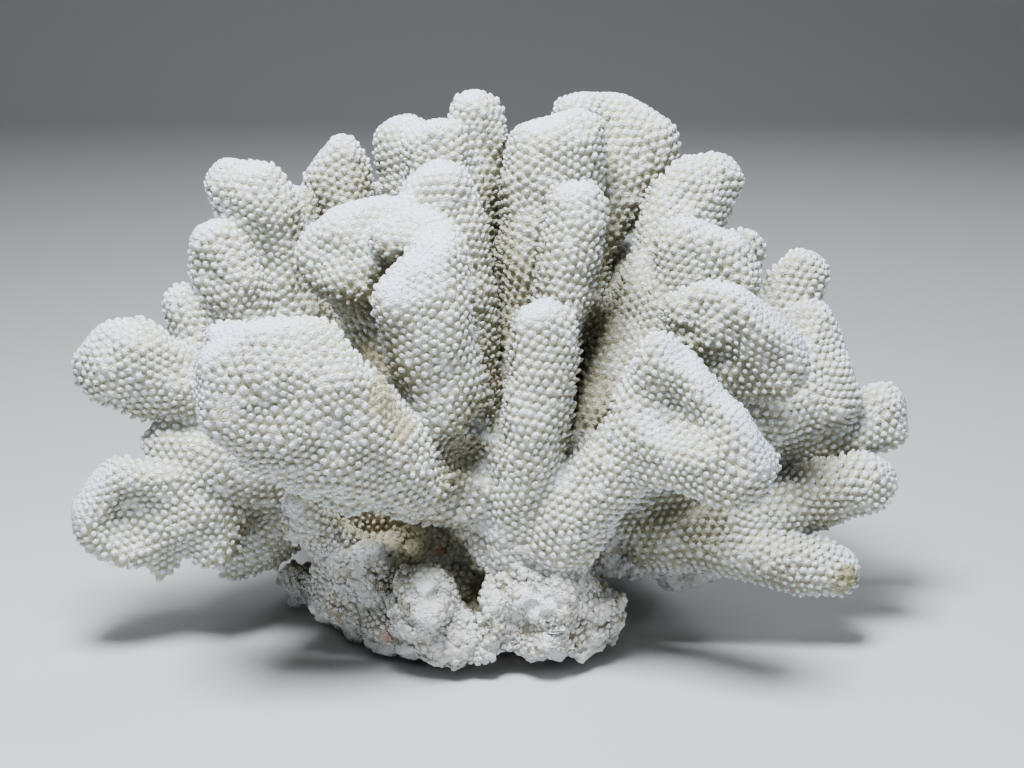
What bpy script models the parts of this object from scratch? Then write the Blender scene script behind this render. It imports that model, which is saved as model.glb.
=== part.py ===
"""A dead cauliflower coral, cut off flat at its foot.

The colony is one grown thing, split into solids at its main forks. Each solid is
built up from pebbles: round, flattened bodies set close together along a line, as
a coral adds to the rim of its blades. The pebbles of a solid are run together,
smoothed, and thinned to flat facets.

The half that faces the viewer is placed by eye from a picture of the coral, so its
lines are written in the picture's own measure: pixels across and down, and the depth
in millimetres behind the middle of the foot. The far half grows by a rule.
"""

import math

import bmesh
import bpy
from mathutils import Euler, Vector

MM = 0.001

# The coral's real width sets the scale of everything else
CORAL_WIDTH = 0.268
CORAL_WIDTH_PX = 836

# The picture: its middle, and how the viewer stands to the coral
PICTURE_MIDDLE_PX = (512, 384)
FOOT_PX = (455, 630)
VIEW_DISTANCE = 0.600
VIEW_DOWN = math.radians(15)

# How the solids are made
PEBBLE_STEP = 0.35
PEBBLE_FULLNESS = 0.5
GRAIN = 0.0022
SMOOTHING_ROUNDS = 5
NEAR_FACET_AREA = 56e-6
FAR_FACET_AREA = 150e-6
FEWEST_FACETS = 50
BUMP_HEIGHT_MM = 0.7
GAP = 0.00034

CORAL_WHITE = (0.86, 0.85, 0.80, 1.0)
CRUSTED_WHITE = (0.78, 0.76, 0.70, 1.0)
MATT = 0.9

# One line of pebbles: (across px, down px, depth mm, radius px, half thickness mm)
# turn is how far the blade faces to the viewer's right, tilt how far it faces up
SOLIDS = {
    "base": [
        dict(line=[(455, 610, 2, 95, 32), (470, 590, 4, 85, 30), (480, 560, 6, 70, 28)]),
        dict(line=[(480, 560, 10, 66, 28), (482, 520, 12, 64, 27), (482, 480, 14, 60, 24), (484, 450, 18, 54, 20)]),
        dict(line=[(480, 560, 28, 60, 22), (484, 500, 36, 58, 20)]),
        dict(line=[(545, 600, -16, 48, 15), (532, 565, -20, 46, 16), (512, 530, -22, 50, 16), (492, 500, -14, 50, 15)]),
        dict(line=[(335, 612, 14, 22, 9), (372, 622, -10, 28, 10), (412, 634, -26, 30, 10), (450, 644, -34, 30, 10)]),
        dict(line=[(530, 634, -32, 28, 10), (565, 640, -32, 26, 10), (600, 625, -16, 26, 10)]),
        dict(line=[(390, 600, 6, 50, 22), (350, 590, -6, 36, 14), (332, 586, -12, 26, 10)]),
        dict(line=[(360, 575, -6, 32, 12), (328, 545, -16, 27, 9), (303, 508, -20, 20, 7)]),
        dict(line=[(470, 540, 4, 50, 22), (420, 542, 4, 42, 18), (380, 562, 2, 38, 15), (345, 575, 4, 34, 12)]),
        dict(line=[(384, 566, -12, 28, 9), (352, 572, -16, 36, 9), (340, 592, -14, 34, 9)]),
        dict(line=[(425, 602, -36, 40, 13)]),
        dict(line=[(505, 592, -32, 26, 9), (550, 596, -31, 38, 12), (598, 608, -20, 28, 10)]),
        dict(line=[(548, 640, -40, 20, 6), (560, 618, -40, 16, 6)]),
        dict(line=[(596, 634, -26, 20, 7), (606, 606, -28, 18, 7)]),
        dict(line=[(310, 585, 16, 30, 6), (294, 588, 18, 20, 5)]),
        dict(line=[(489, 622, -38, 13, 5), (490, 646, -38, 14, 5)]),
    ],
    "under_crust": [
        dict(line=[(590, 545, 4, 34, 10), (640, 545, 8, 36, 10), (690, 556, 10, 30, 9)]),
        dict(line=[(612, 530, -8, 20, 6), (604, 545, -12, 13, 5)]),
        dict(line=[(640, 538, -4, 20, 6), (648, 550, -2, 14, 5)]),
        dict(line=[(590, 560, -6, 18, 6), (618, 566, -2, 12, 4)]),
        dict(line=[(672, 572, 6, 22, 6), (716, 571, 6, 13, 5)]),
    ],
    "left_limb": [
        dict(line=[(425, 502, 14, 44, 14), (350, 492, 6, 42, 13), (280, 478, -2, 40, 12), (220, 458, -8, 36, 10), (172, 446, -10, 28, 8)]),
        dict(line=[(290, 500, 4, 34, 9), (250, 545, 8, 30, 4), (236, 562, 8, 21, 3.5)]),
    ],
    "right_limb": [
        dict(line=[(545, 520, 8, 46, 15), (600, 508, 2, 44, 14), (650, 495, 0, 42, 13), (690, 482, 1, 37, 12)]),
    ],
    "left_upper_paddle": [
        dict(turn=-12, line=[(212, 400, -6, 26, 9), (172, 382, -9, 37, 8), (132, 366, -12, 47, 7.5), (113, 366, -13, 40, 7)]),
    ],
    "left_lower_dish": [
        dict(line=[(240, 490, -2, 38, 10), (200, 500, -8, 40, 8), (165, 508, -14, 40, 7), (128, 513, -16, 42, 6.5)]),
        dict(line=[(168, 484, -17, 20, 6), (118, 481, -19, 19, 6), (92, 506, -21, 18, 6), (94, 532, -21, 18, 6), (120, 548, -19, 18, 6), (142, 542, -17, 16, 5)]),
        dict(line=[(215, 510, -8, 26, 8), (212, 540, -10, 27, 7)]),
        dict(line=[(168, 540, -12, 14, 5), (163, 565, -12, 14, 5)]),
    ],
    "left_small_finger": [
        dict(turn=-20, line=[(290, 440, 10, 28, 9), (240, 400, 6, 26, 8), (204, 355, 2, 23, 7), (191, 325, 2, 20, 7), (182, 303, 3, 18, 6.5)]),
    ],
    "left_blade": [
        dict(turn=-22, line=[(350, 440, 12, 34, 12), (290, 385, 10, 34, 10), (252, 332, 8, 36, 9), (236, 297, 5, 36, 8), (222, 265, 3, 32, 8), (215, 243, 2, 26, 8)]),
    ],
    "left_tall_blade": [
        dict(turn=-18, line=[(410, 450, 12, 34, 13), (355, 400, 12, 32, 11), (312, 340, 12, 30, 9), (288, 290, 12, 28, 8), (276, 250, 12, 32, 8), (268, 215, 10, 33, 8), (262, 188, 8, 26, 7)]),
        dict(turn=-18, line=[(262, 240, 12, 26, 7), (238, 203, 10, 25, 7), (228, 178, 9, 20, 7)]),
        dict(line=[(312, 290, 20, 20, 7), (302, 235, 22, 17, 6), (297, 197, 22, 13, 6)]),
    ],
    "back_left_twin": [
        dict(line=[(410, 420, 20, 32, 12), (380, 330, 24, 28, 9), (356, 262, 28, 27, 8), (350, 212, 32, 26, 7), (348, 182, 33, 25, 7), (345, 152, 33, 19, 6.5)]),
        dict(line=[(345, 225, 34, 24, 7), (330, 198, 35, 24, 7), (322, 175, 35, 19, 6.5)]),
    ],
    "front_left_paddle": [
        dict(line=[(480, 482, -20, 48, 14), (430, 474, -32, 46, 13), (380, 460, -42, 54, 12), (340, 432, -50, 66, 11), (300, 408, -56, 76, 10), (266, 392, -60, 54, 9)]),
        dict(turn=-14, line=[(316, 345, -53, 27, 8), (260, 352, -57, 31, 8), (226, 364, -60, 29, 8), (223, 388, -62, 26, 8), (230, 410, -61, 30, 8), (256, 425, -58, 35, 9), (292, 445, -54, 40, 9), (336, 465, -48, 42, 10), (386, 472, -42, 42, 11)]),
        dict(line=[(270, 372, -42, 32, 7), (229, 347, -43, 27, 7)]),
    ],
    "centre_left_blade": [
        dict(line=[(456, 450, -8, 47, 13), (457, 415, -7, 43, 11), (458, 370, -6, 38, 10), (455, 320, -5, 38, 9), (450, 270, -4, 38, 8), (445, 230, -3, 38, 8), (440, 194, -3, 36, 7.5)]),
        dict(turn=-15, line=[(420, 430, -8, 38, 12), (402, 400, -8, 34, 11), (386, 350, -7, 32, 9), (378, 300, -7, 38, 8), (352, 254, -12, 48, 7.5), (332, 262, -14, 34, 7)]),
        dict(line=[(352, 254, -12, 48, 7.5), (385, 244, -9, 50, 7.5), (425, 250, -6, 46, 8)]),
    ],
    "centre_hook_blade": [
        dict(line=[(464, 485, -24, 46, 14), (448, 430, -30, 42, 12), (440, 385, -34, 42, 10), (430, 340, -38, 42, 9), (424, 302, -39, 41, 8), (434, 264, -36, 29, 8)]),
        dict(line=[(428, 330, -38, 38, 8), (400, 302, -42, 28, 8)]),
        dict(line=[(440, 268, -36, 24, 8), (446, 242, -30, 19, 7), (426, 230, -25, 21, 6.5), (404, 229, -23, 21, 6), (389, 240, -23, 20, 6)]),
    ],
    "back_centre_lobes": [
        dict(line=[(458, 420, 12, 36, 12), (450, 340, 12, 33, 9), (444, 260, 14, 31, 8), (440, 195, 15, 31, 7.5), (438, 147, 15, 30, 7)]),
        dict(line=[(440, 280, 20, 30, 8), (418, 215, 24, 27, 7), (408, 172, 26, 28, 7), (402, 140, 26, 28, 6.5)]),
    ],
    "back_centre_finger": [
        dict(line=[(472, 420, 14, 34, 12), (471, 340, 16, 28, 9), (471, 270, 19, 24, 8), (474, 212, 22, 22, 7), (477, 170, 23, 26, 7), (479, 140, 23, 27, 7), (473, 110, 23, 23, 7)]),
    ],
    "centre_tall_blade": [
        dict(line=[(511, 450, -4, 32, 12), (516, 400, 0, 23, 10), (521, 350, 4, 24, 9), (526, 300, 8, 27, 8.5), (532, 250, 10, 30, 8), (540, 200, 12, 36, 8), (545, 152, 12, 37, 7.5)]),
        dict(line=[(532, 350, 8, 24, 9), (558, 265, 14, 25, 8), (571, 212, 16, 26, 7), (578, 165, 17, 26, 7), (578, 131, 17, 26, 7)]),
    ],
    "centre_fan": [
        dict(line=[(540, 450, 10, 32, 12), (563, 400, 14, 26, 10), (580, 340, 20, 18, 8), (590, 285, 26, 16, 7), (598, 240, 30, 17, 7), (610, 195, 33, 38, 7), (628, 163, 35, 44, 7), (641, 146, 36, 39, 7)]),
        dict(line=[(566, 400, 16, 20, 8), (582, 350, 14, 15, 6), (592, 300, 12, 12, 5)]),
        dict(line=[(641, 146, 36, 39, 7), (615, 122, 38, 29, 6.5), (590, 113, 37, 21, 6), (570, 113, 32, 18, 6)]),
    ],
    "front_finger_upper": [
        dict(line=[(524, 462, -16, 34, 12), (540, 400, -13, 28, 10), (551, 340, -11, 25, 8.5), (562, 292, -10, 25, 8), (572, 245, -9, 29, 7.5), (578, 209, -9, 30, 7.5)]),
    ],
    "front_finger_lower": [
        dict(line=[(522, 505, -26, 42, 13), (526, 485, -29, 37, 12), (532, 450, -32, 32, 10), (537, 410, -34, 32, 9), (541, 370, -34, 31, 8), (547, 326, -34, 30, 7.5)]),
    ],
    "right_tall_blade": [
        dict(turn=14, line=[(560, 492, -12, 42, 13), (595, 440, -5, 34, 12), (612, 400, 0, 38, 10.5), (632, 350, 6, 38, 9.5), (650, 310, 10, 38, 9), (668, 265, 14, 39, 8.5), (682, 225, 18, 37, 8), (677, 200, 20, 27, 7.5), (689, 185, 21, 26, 7)]),
        dict(turn=14, line=[(695, 215, 20, 30, 7.5), (712, 190, 22, 26, 7), (718, 176, 22, 23, 7)]),
    ],
    "right_front_lobe": [
        dict(line=[(630, 400, -3, 36, 10), (660, 350, 0, 36, 9), (688, 300, 1, 40, 8), (700, 262, 0, 36, 7), (685, 250, 0, 32, 7)]),
        dict(line=[(700, 275, 0, 38, 7), (715, 262, -1, 38, 7), (728, 278, -1, 31, 7)]),
    ],
    "right_back_tip": [
        dict(line=[(662, 410, 16, 32, 10), (690, 360, 28, 28, 8), (715, 300, 37, 24, 7), (732, 262, 43, 22, 6), (746, 246, 45, 22, 6)]),
    ],
    "right_dish": [
        dict(line=[(622, 470, -11, 38, 12), (645, 450, -10, 36, 11), (675, 415, -8, 34, 9), (704, 378, -11, 38, 9), (725, 348, -14, 42, 8), (748, 358, -16, 40, 7.5)]),
        dict(line=[(682, 318, -15, 23, 6), (705, 304, -19, 23, 6), (735, 308, -21, 23, 6), (762, 326, -22, 24, 6), (782, 350, -22, 25, 6), (783, 374, -21, 24, 6)]),
        dict(line=[(682, 318, -15, 23, 6), (700, 345, -13, 36, 7)]),
    ],
    "front_right_paddle": [
        dict(line=[(556, 535, -27, 43, 14), (577, 505, -31, 40, 13), (606, 476, -34, 36, 11), (634, 450, -36, 35, 10), (662, 438, -42, 44, 9), (694, 450, -48, 44, 8.5), (718, 462, -52, 40, 8.5)]),
        dict(line=[(634, 440, -37, 30, 9), (646, 405, -38, 27, 8), (658, 380, -41, 25, 7.5), (662, 354, -43, 22, 7.5)]),
        dict(line=[(661, 354, -43, 21, 7), (682, 382, -46, 25, 7), (705, 410, -50, 28, 7.5), (728, 438, -54, 30, 7.5), (746, 467, -56, 30, 8), (738, 477, -56, 28, 8)]),
    ],
    "right_top_finger": [
        dict(line=[(680, 462, 4, 34, 11), (705, 437, 10, 34, 10), (750, 390, 17, 32, 9), (780, 345, 22, 30, 8), (790, 308, 25, 28, 7), (794, 288, 26, 26, 7), (803, 272, 26, 25, 7)]),
    ],
    "right_side_blade": [
        dict(turn=20, line=[(694, 468, -1, 38, 11), (724, 448, 1, 38, 10), (770, 420, 6, 36, 9), (805, 398, 9, 34, 8), (831, 400, 8, 30, 7)]),
        dict(turn=20, line=[(831, 400, 8, 30, 7), (825, 375, 10, 30, 7), (815, 348, 13, 26, 7), (815, 325, 15, 23, 7)]),
        dict(turn=20, line=[(790, 400, 9, 34, 8), (800, 350, 16, 28, 8)]),
    ],
    "right_finger_upper": [
        dict(line=[(700, 484, 4, 34, 10), (760, 457, 9, 30, 9), (810, 441, 13, 27, 8), (850, 430, 16, 26, 7), (878, 424, 18, 28, 6.5), (881, 408, 18, 27, 6.5)]),
    ],
    "right_finger_middle": [
        dict(tilt=-12, line=[(655, 528, -4, 42, 12), (700, 525, -4, 42, 10), (750, 518, -4, 38, 9), (800, 500, -3, 32, 8), (840, 488, -2, 32, 7.5), (868, 482, -1, 29, 7)]),
    ],
    "right_finger_lowest": [
        dict(line=[(690, 530, -6, 34, 10), (720, 543, -8, 30, 9), (750, 552, -10, 25, 8), (782, 559, -12, 27, 8), (815, 565, -13, 28, 7.5), (838, 574, -14, 22, 7)]),
    ],
}

# The far side, tier by tier: (azimuth from straight back, reach mm, height mm, blade radius mm, turn of the blade)
FAR_HEART = Vector((8, 12, 42)) * MM
FAR_SIDE = {
    "back_upper": [(-64, 66, 120, 14, -30), (-31, 60, 142, 17, 20), (2, 56, 134, 13, -15), (33, 60, 144, 17, 25), (66, 68, 122, 14, -20)],
    "back_middle": [(-80, 88, 74, 13, 10), (-49, 94, 92, 16, -25), (-16, 90, 102, 15, 20), (17, 88, 98, 16, -20), (48, 96, 92, 15, 25), (78, 94, 74, 13, -10)],
    "back_lower": [(-62, 78, 40, 13, 0), (-24, 88, 52, 15, 15), (16, 84, 46, 14, -15), (54, 84, 44, 15, 0)],
}
FAR_THICKNESS = 7 * MM
FAR_ROOT_THICKNESS = 11 * MM
FAR_ROOT_SHARE = 0.34


def viewer_axes():
    """Right, up and forward for the viewer, in the coral's frame."""
    right = Vector((1, 0, 0))
    up = Vector((0, math.sin(VIEW_DOWN), math.cos(VIEW_DOWN)))
    forward = Vector((0, math.cos(VIEW_DOWN), -math.sin(VIEW_DOWN)))
    return right, up, forward


def viewer_place():
    """Where the viewer stands, so that the foot's middle shows at FOOT_PX."""
    right, up, forward = viewer_axes()
    per_px = CORAL_WIDTH / CORAL_WIDTH_PX
    across = (FOOT_PX[0] - PICTURE_MIDDLE_PX[0]) * per_px
    above = (PICTURE_MIDDLE_PX[1] - FOOT_PX[1]) * per_px
    return -(right * across + up * above + forward * VIEW_DISTANCE)


def seen_at(px, py, depth):
    """The point that the picture shows at a pixel, at a depth behind the foot's middle, and the size of a pixel there."""
    right, up, forward = viewer_axes()
    eye = viewer_place()
    per_px = CORAL_WIDTH / CORAL_WIDTH_PX / VIEW_DISTANCE
    ray = right * ((px - PICTURE_MIDDLE_PX[0]) * per_px) + up * ((PICTURE_MIDDLE_PX[1] - py) * per_px) + forward
    distance = (depth - eye.y) / ray.y
    return eye + ray * distance, per_px * distance


def curve_through(rows, step):
    """Rows of numbers, the first three a place, run through by a smooth curve and read off at even steps."""
    found = []
    for i in range(len(rows) - 1):
        before, start, end, after = (rows[min(max(k, 0), len(rows) - 1)] for k in range(i - 1, i + 3))
        length = (Vector(end[:3]) - Vector(start[:3])).length
        count = max(1, math.ceil(length / step))
        for n in range(count):
            t = n / count
            found.append(
                [
                    0.5 * (2 * b + (c - a) * t + (2 * a - 5 * b + 4 * c - d) * t**2 + (3 * b - a - 3 * c + d) * t**3)
                    for a, b, c, d in zip(before, start, end, after)
                ]
            )
    found.append(list(rows[-1]))
    return found


def add_pebble(bm, place, radius, half_thickness, facing):
    """A round, flattened body with a full rim, its flat side facing along the turned -Y."""
    half_thickness = min(half_thickness, radius)
    spread = radius - half_thickness
    for vert in bmesh.ops.create_icosphere(bm, subdivisions=2, radius=1)["verts"]:
        outward = Vector((vert.co.x, 0, vert.co.z))
        rim = max(outward.length, 1e-6)
        shaped = vert.co * half_thickness + outward * spread * rim ** (PEBBLE_FULLNESS - 1)
        vert.co = place + facing @ shaped


def add_line(bm, rows, facing):
    """Pebbles along a smooth curve. Each row is a place, a radius and a half thickness, in metres."""
    step = PEBBLE_STEP * min(row[3] for row in rows)
    for x, y, z, radius, half_thickness in curve_through(rows, step):
        add_pebble(bm, Vector((x, y, z)), radius, half_thickness, facing)


def read_line(line):
    """A line of the table, in metres in the coral's frame."""
    rows = []
    bump = BUMP_HEIGHT_MM * MM
    for px, py, depth, radius_px, half_thickness in line:
        place, per_px = seen_at(px, py, depth * MM)
        rows.append((*place, radius_px * per_px + bump, half_thickness * MM + bump))
    return rows


def facing_of(turn, tilt):
    return Euler((math.radians(-tilt), 0, math.radians(turn))).to_matrix()


def lines_of_near_side():
    """{solid: [(rows, facing)]} for the half that is read from the picture."""
    return {
        name: [(read_line(c["line"]), facing_of(c.get("turn", 0), c.get("tilt", 0))) for c in chains]
        for name, chains in SOLIDS.items()
    }


def lines_of_far_side():
    """{solid: [(rows, facing)]} for the half that the picture doesn't show: forked blades that lean out from the heart."""
    found = {}
    for tier, blades in FAR_SIDE.items():
        for number, (azimuth, reach, height, radius, turn) in enumerate(blades, 1):
            angle = math.radians(azimuth)
            out = Vector((math.sin(angle), math.cos(angle), 0))
            side = Vector((out.y, -out.x, 0))
            radius *= MM
            tip = Vector((FAR_HEART.x, FAR_HEART.y, 0)) + out * (reach * MM - radius) + Vector((0, 0, height * MM - radius))
            root = FAR_HEART.lerp(tip, FAR_ROOT_SHARE)
            elbow = FAR_HEART.lerp(tip, 0.55) + out * radius * 0.4 - Vector((0, 0, radius * 0.4))
            lobes = []
            for sign, grown in ((-1, 1.0), (1, 0.86)):
                end = elbow.lerp(tip, grown) + side * sign * radius * 0.62
                neck = elbow.lerp(end, 0.6)
                lobes.append(
                    [
                        (*root, 0.85 * radius, FAR_ROOT_THICKNESS),
                        (*elbow, 0.95 * radius, FAR_ROOT_THICKNESS * 0.8),
                        (*neck, 0.85 * radius, FAR_THICKNESS * 1.1),
                        (*end, 0.9 * radius, FAR_THICKNESS),
                    ]
                )
            found[f"{tier}_{number}"] = [(rows, facing_of(turn - azimuth, 0)) for rows in lobes]
    return found


def mesh_object(name, mesh, collection):
    obj = bpy.data.objects.new(name, mesh)
    collection.objects.link(obj)
    return obj


def evaluated_mesh(obj):
    """The object's mesh with its modifiers applied."""
    graph = bpy.context.evaluated_depsgraph_get()
    return bpy.data.meshes.new_from_object(obj.evaluated_get(graph))


def settle(obj):
    """Applies the object's modifiers to its mesh."""
    made = evaluated_mesh(obj)
    obj.modifiers.clear()
    old = obj.data
    obj.data = made
    bpy.data.meshes.remove(old)


def grow(name, lines, facet_area, collection):
    """One solid: its pebbles run together, smoothed, and thinned to facets of about this area."""
    bm = bmesh.new()
    for rows, facing in lines:
        add_line(bm, rows, facing)
    mesh = bpy.data.meshes.new(name)
    bm.to_mesh(mesh)
    bm.free()
    obj = mesh_object(name, mesh, collection)

    run_together = obj.modifiers.new("Run together", "REMESH")
    run_together.mode = "VOXEL"
    run_together.voxel_size = GRAIN
    smooth = obj.modifiers.new("Smooth", "SMOOTH")
    smooth.factor = 0.5
    smooth.iterations = SMOOTHING_ROUNDS
    settle(obj)

    area = sum(face.area for face in obj.data.polygons)
    wanted = max(FEWEST_FACETS, area / facet_area)
    thin = obj.modifiers.new("Thin", "DECIMATE")
    thin.ratio = min(1.0, wanted / (2 * len(obj.data.polygons)))
    settle(obj)
    return obj


def swollen(obj, collection):
    """A copy that stands GAP proud of the solid all round, to cut its neighbours with."""
    copy = mesh_object(obj.name + "_cutter", obj.data.copy(), collection)
    bm = bmesh.new()
    bm.from_mesh(copy.data)
    bm.normal_update()
    moved = [vert.co + vert.normal * GAP * vert.calc_shell_factor() for vert in bm.verts]
    for vert, place in zip(bm.verts, moved):
        vert.co = place
    bm.to_mesh(copy.data)
    bm.free()
    copy.hide_render = True
    copy.display_type = "WIRE"
    return copy


def boxes_meet(a, b):
    def span(obj, axis):
        values = [vert.co[axis] for vert in obj.data.vertices]
        return min(values), max(values)

    return all(span(a, k)[0] < span(b, k)[1] and span(b, k)[0] < span(a, k)[1] for k in range(3))


def bodies_in(bm):
    """The faces of each separate body."""
    left = set(bm.faces)
    found = []
    while left:
        body = set()
        queue = [left.pop()]
        while queue:
            face = queue.pop()
            body.add(face)
            for edge in face.edges:
                for other in edge.link_faces:
                    if other in left:
                        left.remove(other)
                        queue.append(other)
        found.append(body)
    return found


def keep_main_body(obj):
    """Drops the crumbs that a cut leaves behind."""
    bm = bmesh.new()
    bm.from_mesh(obj.data)
    bodies = sorted(bodies_in(bm), key=lambda body: sum(face.calc_area() for face in body))
    crumbs = [face for body in bodies[:-1] for face in body]
    bmesh.ops.delete(bm, geom=crumbs, context="FACES")
    loose = [vert for vert in bm.verts if not vert.link_faces]
    bmesh.ops.delete(bm, geom=loose, context="VERTS")
    bm.to_mesh(obj.data)
    bm.free()


def cut_flat(obj):
    """Cuts the foot off flat at the height of the floor."""
    bm = bmesh.new()
    bm.from_mesh(obj.data)
    parts = bm.verts[:] + bm.edges[:] + bm.faces[:]
    cut = bmesh.ops.bisect_plane(bm, geom=parts, plane_co=(0, 0, 0), plane_no=(0, 0, -1), clear_outer=True)
    rim = [edge for edge in cut["geom_cut"] if isinstance(edge, bmesh.types.BMEdge)]
    filled = bmesh.ops.holes_fill(bm, edges=rim, sides=0)
    bmesh.ops.triangulate(bm, faces=filled["faces"])
    bmesh.ops.recalc_face_normals(bm, faces=bm.faces)
    bm.to_mesh(obj.data)
    bm.free()


def fork_apart(solids, cutters):
    """Cuts each solid back from those before it, so that they meet with a gap at the forks.

    A swelling can pinch where its solid is creased, so the solid itself cuts too.
    """
    whole = []
    for obj in solids:
        own = [mesh_object(obj.name + "_whole", obj.data.copy(), cutters), swollen(obj, cutters)]
        for other in whole:
            if boxes_meet(obj, other):
                cut = obj.modifiers.new("Fork " + other.name, "BOOLEAN")
                cut.operation = "DIFFERENCE"
                cut.object = other
                cut.use_self = True
        settle(obj)
        keep_main_body(obj)
        whole += own
    for cutter in whole:
        bpy.data.objects.remove(cutter)


def finish_of(name, colour, roughness):
    material = bpy.data.materials.new(name)
    material.use_nodes = True
    shader = material.node_tree.nodes["Principled BSDF"]
    shader.inputs["Base Color"].default_value = colour
    shader.inputs["Roughness"].default_value = roughness
    material.diffuse_color = colour
    return material


def new_collection(name):
    collection = bpy.data.collections.new(name)
    bpy.context.scene.collection.children.link(collection)
    return collection


def main():
    for obj in list(bpy.data.objects):
        bpy.data.objects.remove(obj)
    coral = new_collection("cauliflower_coral")
    cutters = new_collection("cutters")

    solids = [grow(name, lines, NEAR_FACET_AREA, coral) for name, lines in lines_of_near_side().items()]
    solids += [grow(name, lines, FAR_FACET_AREA, coral) for name, lines in lines_of_far_side().items()]
    cut_flat(solids[0])
    fork_apart(solids, cutters)

    for obj in solids:
        is_crusted = obj.name in ("base", "under_crust")
        colour = CRUSTED_WHITE if is_crusted else CORAL_WHITE
        obj.data.materials.append(finish_of(obj.name, colour, MATT))


main()
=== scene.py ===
import math
import random

import bmesh
import bpy
import numpy as np
from mathutils import Matrix, Vector, noise
from mathutils.bvhtree import BVHTree
from mathutils.kdtree import KDTree


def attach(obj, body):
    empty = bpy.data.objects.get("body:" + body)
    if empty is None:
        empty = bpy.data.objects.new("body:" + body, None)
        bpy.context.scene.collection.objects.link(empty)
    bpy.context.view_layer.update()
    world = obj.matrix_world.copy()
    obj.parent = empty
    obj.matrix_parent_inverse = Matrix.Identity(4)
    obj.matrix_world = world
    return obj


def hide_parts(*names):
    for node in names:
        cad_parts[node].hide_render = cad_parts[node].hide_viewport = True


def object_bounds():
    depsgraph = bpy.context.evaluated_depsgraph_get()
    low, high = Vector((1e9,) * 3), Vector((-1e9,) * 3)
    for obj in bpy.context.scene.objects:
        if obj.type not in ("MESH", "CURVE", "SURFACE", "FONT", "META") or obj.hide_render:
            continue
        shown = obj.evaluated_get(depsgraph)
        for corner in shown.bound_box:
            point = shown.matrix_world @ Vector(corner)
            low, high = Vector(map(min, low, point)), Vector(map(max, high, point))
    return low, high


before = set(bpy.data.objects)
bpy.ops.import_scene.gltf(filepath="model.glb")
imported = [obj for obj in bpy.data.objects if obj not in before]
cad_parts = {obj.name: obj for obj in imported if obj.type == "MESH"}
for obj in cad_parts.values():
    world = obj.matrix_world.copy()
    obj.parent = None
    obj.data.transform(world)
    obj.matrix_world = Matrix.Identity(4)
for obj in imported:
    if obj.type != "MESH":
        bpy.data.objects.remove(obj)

mm = 0.001
cadLow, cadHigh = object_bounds()  # the solids' box, before anything covers them
random.seed(7)
noise.seed_set(7)  # noise vectors start from the clock otherwise


# Where the viewer stands, in the picture's pixels and in metres
view = {
    "picture": (1024, 768),
    "coralWidth": 0.268,
    "coralWidthPx": 836,
    "footPx": (455, 630),
    "distance": 0.600,
    "down": 15,
    "sensor": 36,
}
perPixel = view["coralWidth"] / view["coralWidthPx"]


def viewerAxes():
    down = math.radians(view["down"])
    right = Vector((1, 0, 0))
    up = Vector((0, math.sin(down), math.cos(down)))
    forward = Vector((0, math.cos(down), -math.sin(down)))
    return right, up, forward


def offAxis(pixel):
    # How far a pixel is to the right of and above the picture's middle, in metres at the foot
    across = (pixel[0] - view["picture"][0] / 2) * perPixel
    above = (view["picture"][1] / 2 - pixel[1]) * perPixel
    return across, above


def viewerPlace():
    right, up, forward = viewerAxes()
    across, above = offAxis(view["footPx"])
    return -(right * across + up * above + forward * view["distance"])


def rayThrough(pixel):
    right, up, forward = viewerAxes()
    across, above = offAxis(pixel)
    return (right * across + up * above + forward * view["distance"]).normalized()


def makeCamera():
    right, up, forward = viewerAxes()
    data = bpy.data.cameras.new("camera")
    data.sensor_width = view["sensor"]
    data.lens = view["sensor"] * view["distance"] / (perPixel * view["picture"][0])
    camera = bpy.data.objects.new("camera", data)
    turned = Matrix((right, up, -forward)).transposed().to_4x4()
    camera.matrix_world = Matrix.Translation(viewerPlace()) @ turned
    bpy.context.scene.collection.objects.link(camera)
    bpy.context.scene.camera = camera


def newObject(name, mesh):
    obj = bpy.data.objects.new(name, mesh)
    bpy.context.scene.collection.objects.link(obj)
    return obj


def withModifiers(obj):
    # The object's mesh with its modifiers applied
    graph = bpy.context.evaluated_depsgraph_get()
    return bpy.data.meshes.new_from_object(obj.evaluated_get(graph))


def pointsOf(mesh):
    points = np.empty(len(mesh.vertices) * 3, np.float32)
    mesh.vertices.foreach_get("co", points)
    return points.reshape(-1, 3).astype(np.float64)


def normalsOf(mesh):
    normals = np.empty(len(mesh.vertices) * 3, np.float32)
    mesh.vertices.foreach_get("normal", normals)
    return normals.reshape(-1, 3).astype(np.float64)


def setPoints(mesh, points):
    mesh.vertices.foreach_set("co", points.astype(np.float32).ravel())
    mesh.update()


def edgesOf(mesh):
    ends = np.empty(len(mesh.edges) * 2, np.int32)
    mesh.edges.foreach_get("vertices", ends)
    return ends.reshape(-1, 2)


def treeOf(mesh):
    bm = bmesh.new()
    bm.from_mesh(mesh)
    tree = BVHTree.FromBMesh(bm)
    bm.free()
    return tree


def neighbourMean(values, ends):
    # The mean of each point's neighbours, for an array with a row for each point
    here = np.concatenate([ends[:, 0], ends[:, 1]])
    there = np.concatenate([ends[:, 1], ends[:, 0]])
    count = np.maximum(np.bincount(here, minlength=len(values)), 1)
    sums = [np.bincount(here, weights=column[there], minlength=len(values)) for column in values.T]
    return np.stack([column / count for column in sums], axis=1)


def smoothOver(values, ends, rounds):
    flat = values.ndim == 1
    values = values[:, None] if flat else values
    for _ in range(rounds):
        values = 0.5 * values + 0.5 * neighbourMean(values, ends)
    return values[:, 0] if flat else values


def smoothStep(low, high, values):
    t = np.clip((values - low) / (high - low), 0, 1)
    return t * t * (3 - 2 * t)


def unit(vectors):
    return vectors / np.maximum(np.linalg.norm(vectors, axis=-1, keepdims=True), 1e-9)


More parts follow.
